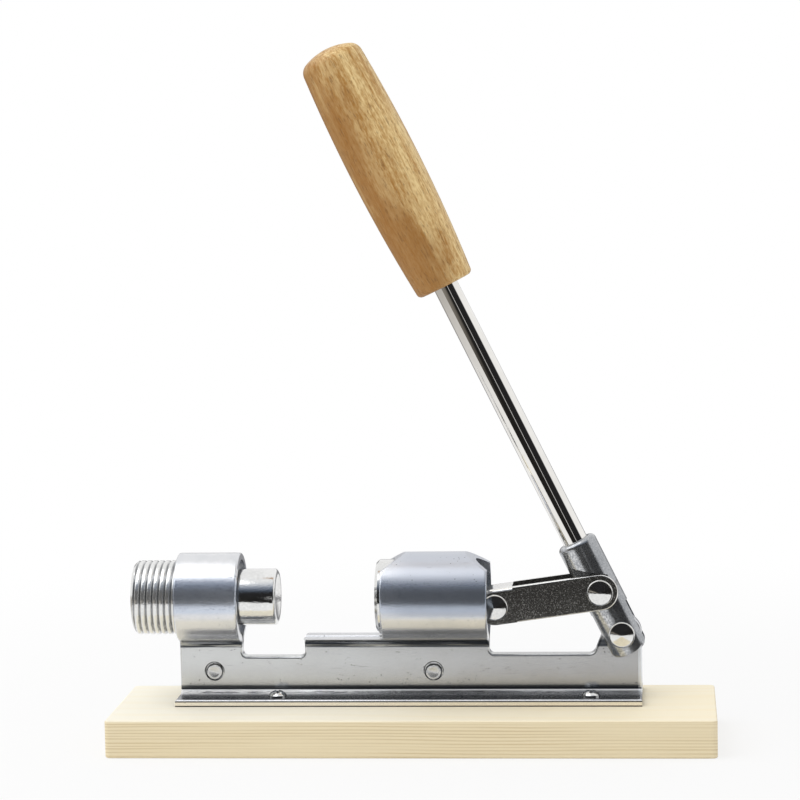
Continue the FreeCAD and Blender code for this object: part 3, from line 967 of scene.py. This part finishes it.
# %% [markdown]
# ## Floor
#
# The press stands on a white table. To the camera it is partly a lit card, so it keeps the
# shadow under the board, and turns to plain white further out. To the mirrors it is white as
# far as its front edge, which runs at a slant, and it greys far to the left and behind. A
# room without a floor would be simpler, but then the metal would mirror what lies below the
# horizon and the shadow would be lost. It is a stage, not part of the object.

# %% The floor finish
card_grey = (0.86, 0.86, 0.86, 1.0)
table_front = (-0.225, -0.205)
front_slant, slant_end = 0.5, 0.02


def floor_finish():
    material, place = start("white_table")
    x, y, _ = place.axes()
    slanted = y - x.maths("MINIMUM", slant_end) * front_slant
    dark = slanted.fall(*table_front) * bearing_of(x, y).between(*dark_side)
    mirrored = y.step(0.20, 0.40).tint(dark.tint(white, unlit), grey)
    mirrored = x.step(-0.45, -0.12).tint(warm_grey, mirrored)
    seen = place.node("ShaderNodeLightPath", output="Is Camera Ray")
    glossy = place.node("ShaderNodeLightPath", output="Is Glossy Ray")
    reach = place.node("ShaderNodeVectorMath", {"operation": "LENGTH"}, {0: place}, "Value")
    share = seen * (reach.step(0.16, 0.50) * 0.25 + 0.75) + glossy
    glow = place.node("ShaderNodeEmission", (), {"Color": seen.tint(mirrored, white)})
    card = material.node_tree.nodes["Principled BSDF"].outputs[0]
    mixed = place.node("ShaderNodeMixShader", (), {0: share, 1: Flow(card), 2: glow})
    put(mixed, material.node_tree.nodes["Material Output"].inputs["Surface"])
    return close(material, {"Base Color": card_grey, "Roughness": 0.9, "Specular IOR Level": 0.0})


# %% Make the floor
floor_half = 3.0


def build_floor(shape):
    corners = [(-1, -1), (1, -1), (1, 1), (-1, 1)]
    shape.faces.new([shape.verts.new((x * floor_half, y * floor_half, 0.0)) for x, y in corners])


floor = piece_from("table_top", build_floor, floor_finish())

# %% [markdown]
# ## Studio
#
# Cameras see plain white. Mirrors see the unlit room fade upwards into a white ceiling, with
# a narrow paler gap a little to the right. Everything else gets an even white light. Lamps
# could light the room's walls instead, but each lamp would also show in the metal, so a world
# of plain colours is easier to keep calm.

# %% Make the world
even_light = (0.78, 0.78, 0.78, 1.0)
# Height of a ray as a share of half a turn, 0.5 at the horizon, and the colour met there.
wall_stops = [
    (0.39, white), (0.42, unlit), (0.64, (0.02, 0.02, 0.022, 1.0)),
    (0.70, (0.09, 0.11, 0.15, 1.0)), (0.77, (0.30, 0.34, 0.41, 1.0)),
    (0.84, (0.70, 0.73, 0.78, 1.0)), (0.91, (0.94, 0.95, 0.96, 1.0)),
]
gap_bearings = [math.radians(degrees) for degrees in (12.5, 14.0, 16.0, 17.5)]
gap_heights = (-0.03, -0.01, 0.14, 0.16)
back_wall = [math.radians(degrees) for degrees in (125.0, 150.0)]

world = bpy.data.worlds.new("studio")
bpy.context.scene.world = world
world.use_nodes = True
backdrop = world.node_tree.nodes["Background"]
base = Flow(backdrop.outputs[0])
side_way, depth_way, height_way = base.node("ShaderNodeTexCoord", output="Generated").axes()
height_share = height_way.maths("ARCSINE") * (1 / math.pi) + 0.5
wall = height_share.node("ShaderNodeValToRGB", {"stops": wall_stops}, {"Fac": height_share})
bearing = bearing_of(side_way, depth_way)
gap = bearing.between(*gap_bearings) * height_way.between(*gap_heights) * 0.7
ahead = (bearing.between(*dark_side) * (1 - gap)).tint(white, wall)
behind = bearing.maths("ABSOLUTE").step(*back_wall) * height_way.fall(0.02, 0.18)
mirrored = behind.tint(ahead, grey)
for_mirrors = base.node("ShaderNodeLightPath", output="Is Glossy Ray").tint(even_light, mirrored)
for_cameras = base.node("ShaderNodeLightPath", output="Is Camera Ray").tint(for_mirrors, white)
put(for_cameras, backdrop.inputs["Color"])
print("world nodes", len(world.node_tree.nodes))

# %% [markdown]
# ## Lamp
#
# The even light of the world has no direction, so the board would look flat. One large soft
# lamp above and to the left adds shape and a soft shadow. A small one would be brighter on
# the metal, but it would also draw a hard edge under the board.

# %% Make the lamp
lamp_place = Vector((-0.85, -0.25, 1.3))
lamp_aim = Vector((0.0, 0.0, 0.05))
lamp_side = 1.5
lamp_power = 10.0

lamp = bpy.data.lights.new("overhead", "AREA")
lamp.shape = "RECTANGLE"
lamp.size = lamp.size_y = lamp_side
lamp.energy = lamp_power
overhead = bpy.data.objects.new("overhead", lamp)
overhead.location = lamp_place
overhead.rotation_mode = "QUATERNION"
overhead.rotation_quaternion = (lamp_place - lamp_aim).to_track_quat("Z", "Y")
bpy.context.scene.collection.objects.link(overhead)
print("lamp", round((lamp_place - lamp_aim).length, 2), "m away")

# %% [markdown]
# ## Camera
#
# A long lens stands a good metre in front, slightly right of the middle and a little above,
# looking down, and the camera is rolled by one degree as in the photograph. A track
# constraint would aim it but could not roll it, so its axes are worked out from three angles.
# It aims a little higher and sees a little wider than the photograph, so that the whole lever
# is in the picture.

# %% Make the camera
photo_focal = 146.75
wider = 0.90
photo_pitch = 7.373
aimed_up = 1.47
camera_place = Vector(in_mm(100.62, -1154.26, 256.85))
yaw = math.radians(5.166)
pitch = math.radians(photo_pitch - aimed_up)
roll = math.radians(-1.12)
level = Vector((math.cos(yaw), math.sin(yaw), 0.0))
ground_way = Vector((-math.sin(yaw), math.cos(yaw), 0.0))
forward = ground_way * math.cos(pitch) - Vector((0.0, 0.0, math.sin(pitch)))
above = level.cross(forward)
right = math.cos(roll) * level + math.sin(roll) * above
up = -math.sin(roll) * level + math.cos(roll) * above

lens = bpy.data.cameras.new("photo_lens")
lens.sensor_width = 36.0
lens.lens = photo_focal * wider
lens.clip_start = 0.01
camera = bpy.data.objects.new("photo_camera", lens)
turn = Matrix((right, up, -forward)).transposed().to_4x4()
camera.matrix_world = Matrix.Translation(camera_place) @ turn
bpy.context.scene.collection.objects.link(camera)
bpy.context.scene.camera = camera
bpy.context.scene.view_settings.view_transform = "Standard"
print("camera at", [round(v, 3) for v in camera_place], "lens", round(lens.lens, 1))
